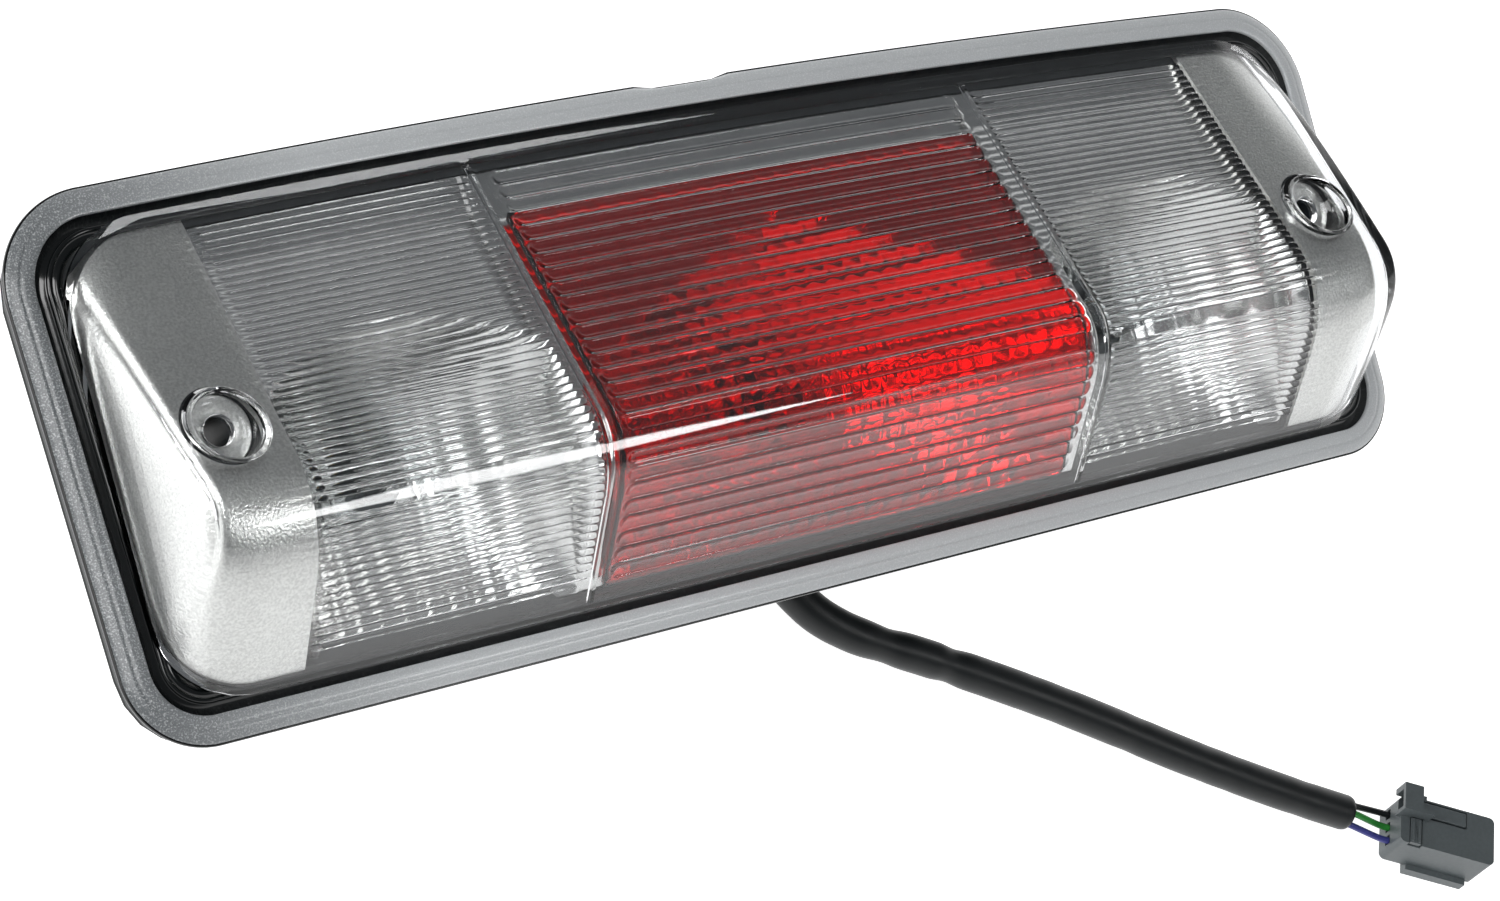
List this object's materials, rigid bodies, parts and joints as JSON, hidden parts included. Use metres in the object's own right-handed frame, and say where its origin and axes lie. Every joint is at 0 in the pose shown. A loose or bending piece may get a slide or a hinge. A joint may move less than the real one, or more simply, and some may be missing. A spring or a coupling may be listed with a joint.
{
  "type": "third brake light",
  "caption": "Long raised clear-lens high-mount stop lamp with a red centre section between clear cargo lamps, twist-in bulb sockets and a sleeved harness with a latching connector",
  "frame": {"origin": "under the middle of the lamp, on the surface that its back rim rests on", "axes": "+X along the lamp's length, +Y towards its top edge, +Z out of its face"},
  "size_m": [0.3822, 0.2462, 0.0732],
  "materials": {
    "clear_polycarbonate": "clear, polished outside",
    "butyl_sealant": "smooth",
    "red_acrylic": "transparent red",
    "metallised_reflector": "vacuum metallised, satin",
    "black_housing": "fine grained",
    "foam": "closed-cell foam",
    "rubber": "matte",
    "socket_nylon": "moulded",
    "bulb_glass": "clear",
    "filament_metal": "drawn wire",
    "brass": "pressed strip",
    "grey_connector": "moulded",
    "pvc_sleeve": "extruded",
    "green_wire": "extruded",
    "blue_wire": "extruded",
    "black_wire": "extruded"
  },
  "bodies": {
    "lamp": {"outer_lens": "clear_polycarbonate", "lens_seal": "butyl_sealant", "red_inner_lens": "red_acrylic", "reflector": "metallised_reflector", "housing": "black_housing", "foam_gasket": "foam", "vent_cap_left": "rubber", "vent_cap_right": "rubber", "cable_clip": "black_housing", "cargo_left_wire_feed": "blue_wire", "cargo_left_wire_ground": "black_wire", "cargo_right_wire_feed": "blue_wire", "cargo_right_wire_ground": "black_wire", "brake_wire_feed": "green_wire", "brake_wire_ground": "black_wire", "harness_sleeve": "pvc_sleeve", "connector_body": "grey_connector", "connector_lock": "grey_connector", "terminal_blue": "brass", "terminal_green": "brass", "terminal_black": "brass", "plug_wire_blue": "blue_wire", "plug_wire_green": "green_wire", "plug_wire_black": "black_wire"},
    "brake_bulb_holder": {"brake_socket": "socket_nylon", "brake_socket_seal": "rubber", "brake_bulb_glass": "bulb_glass", "brake_bulb_filament": "filament_metal", "brake_contact_feed": "brass", "brake_contact_ground": "brass"},
    "cargo_left_bulb_holder": {"cargo_left_socket": "socket_nylon", "cargo_left_socket_seal": "rubber", "cargo_left_bulb_glass": "bulb_glass", "cargo_left_bulb_filament": "filament_metal", "cargo_left_contact_feed": "brass", "cargo_left_contact_ground": "brass"},
    "cargo_right_bulb_holder": {"cargo_right_socket": "socket_nylon", "cargo_right_socket_seal": "rubber", "cargo_right_bulb_glass": "bulb_glass", "cargo_right_bulb_filament": "filament_metal", "cargo_right_contact_feed": "brass", "cargo_right_contact_ground": "brass"},
    "plug_latch": {"connector_latch": "grey_connector"}
  },
  "joints": [
    {"name": "brake_socket_twist", "type": "hinge", "parent": "lamp", "child": "brake_bulb_holder", "pos_m": [0, -0.013, 0], "axis": [0, 0, 1], "range_deg": [-45, 0]},
    {"name": "cargo_left_socket_twist", "type": "hinge", "parent": "lamp", "child": "cargo_left_bulb_holder", "pos_m": [-0.10675, -0.011, 0], "axis": [0, 0, 1], "range_deg": [-45, 0]},
    {"name": "cargo_right_socket_twist", "type": "hinge", "parent": "lamp", "child": "cargo_right_bulb_holder", "pos_m": [0.10675, -0.011, 0], "axis": [0, 0, 1], "range_deg": [-45, 0]},
    {"name": "latch_press", "type": "hinge", "parent": "lamp", "child": "plug_latch", "pos_m": [0.18663, -0.165, 0.01635], "axis": [0.5469, 0.8125, -0.2017], "range_deg": [-3, 0], "stiffness_Nm_per_rad": 0.02}
  ]
}
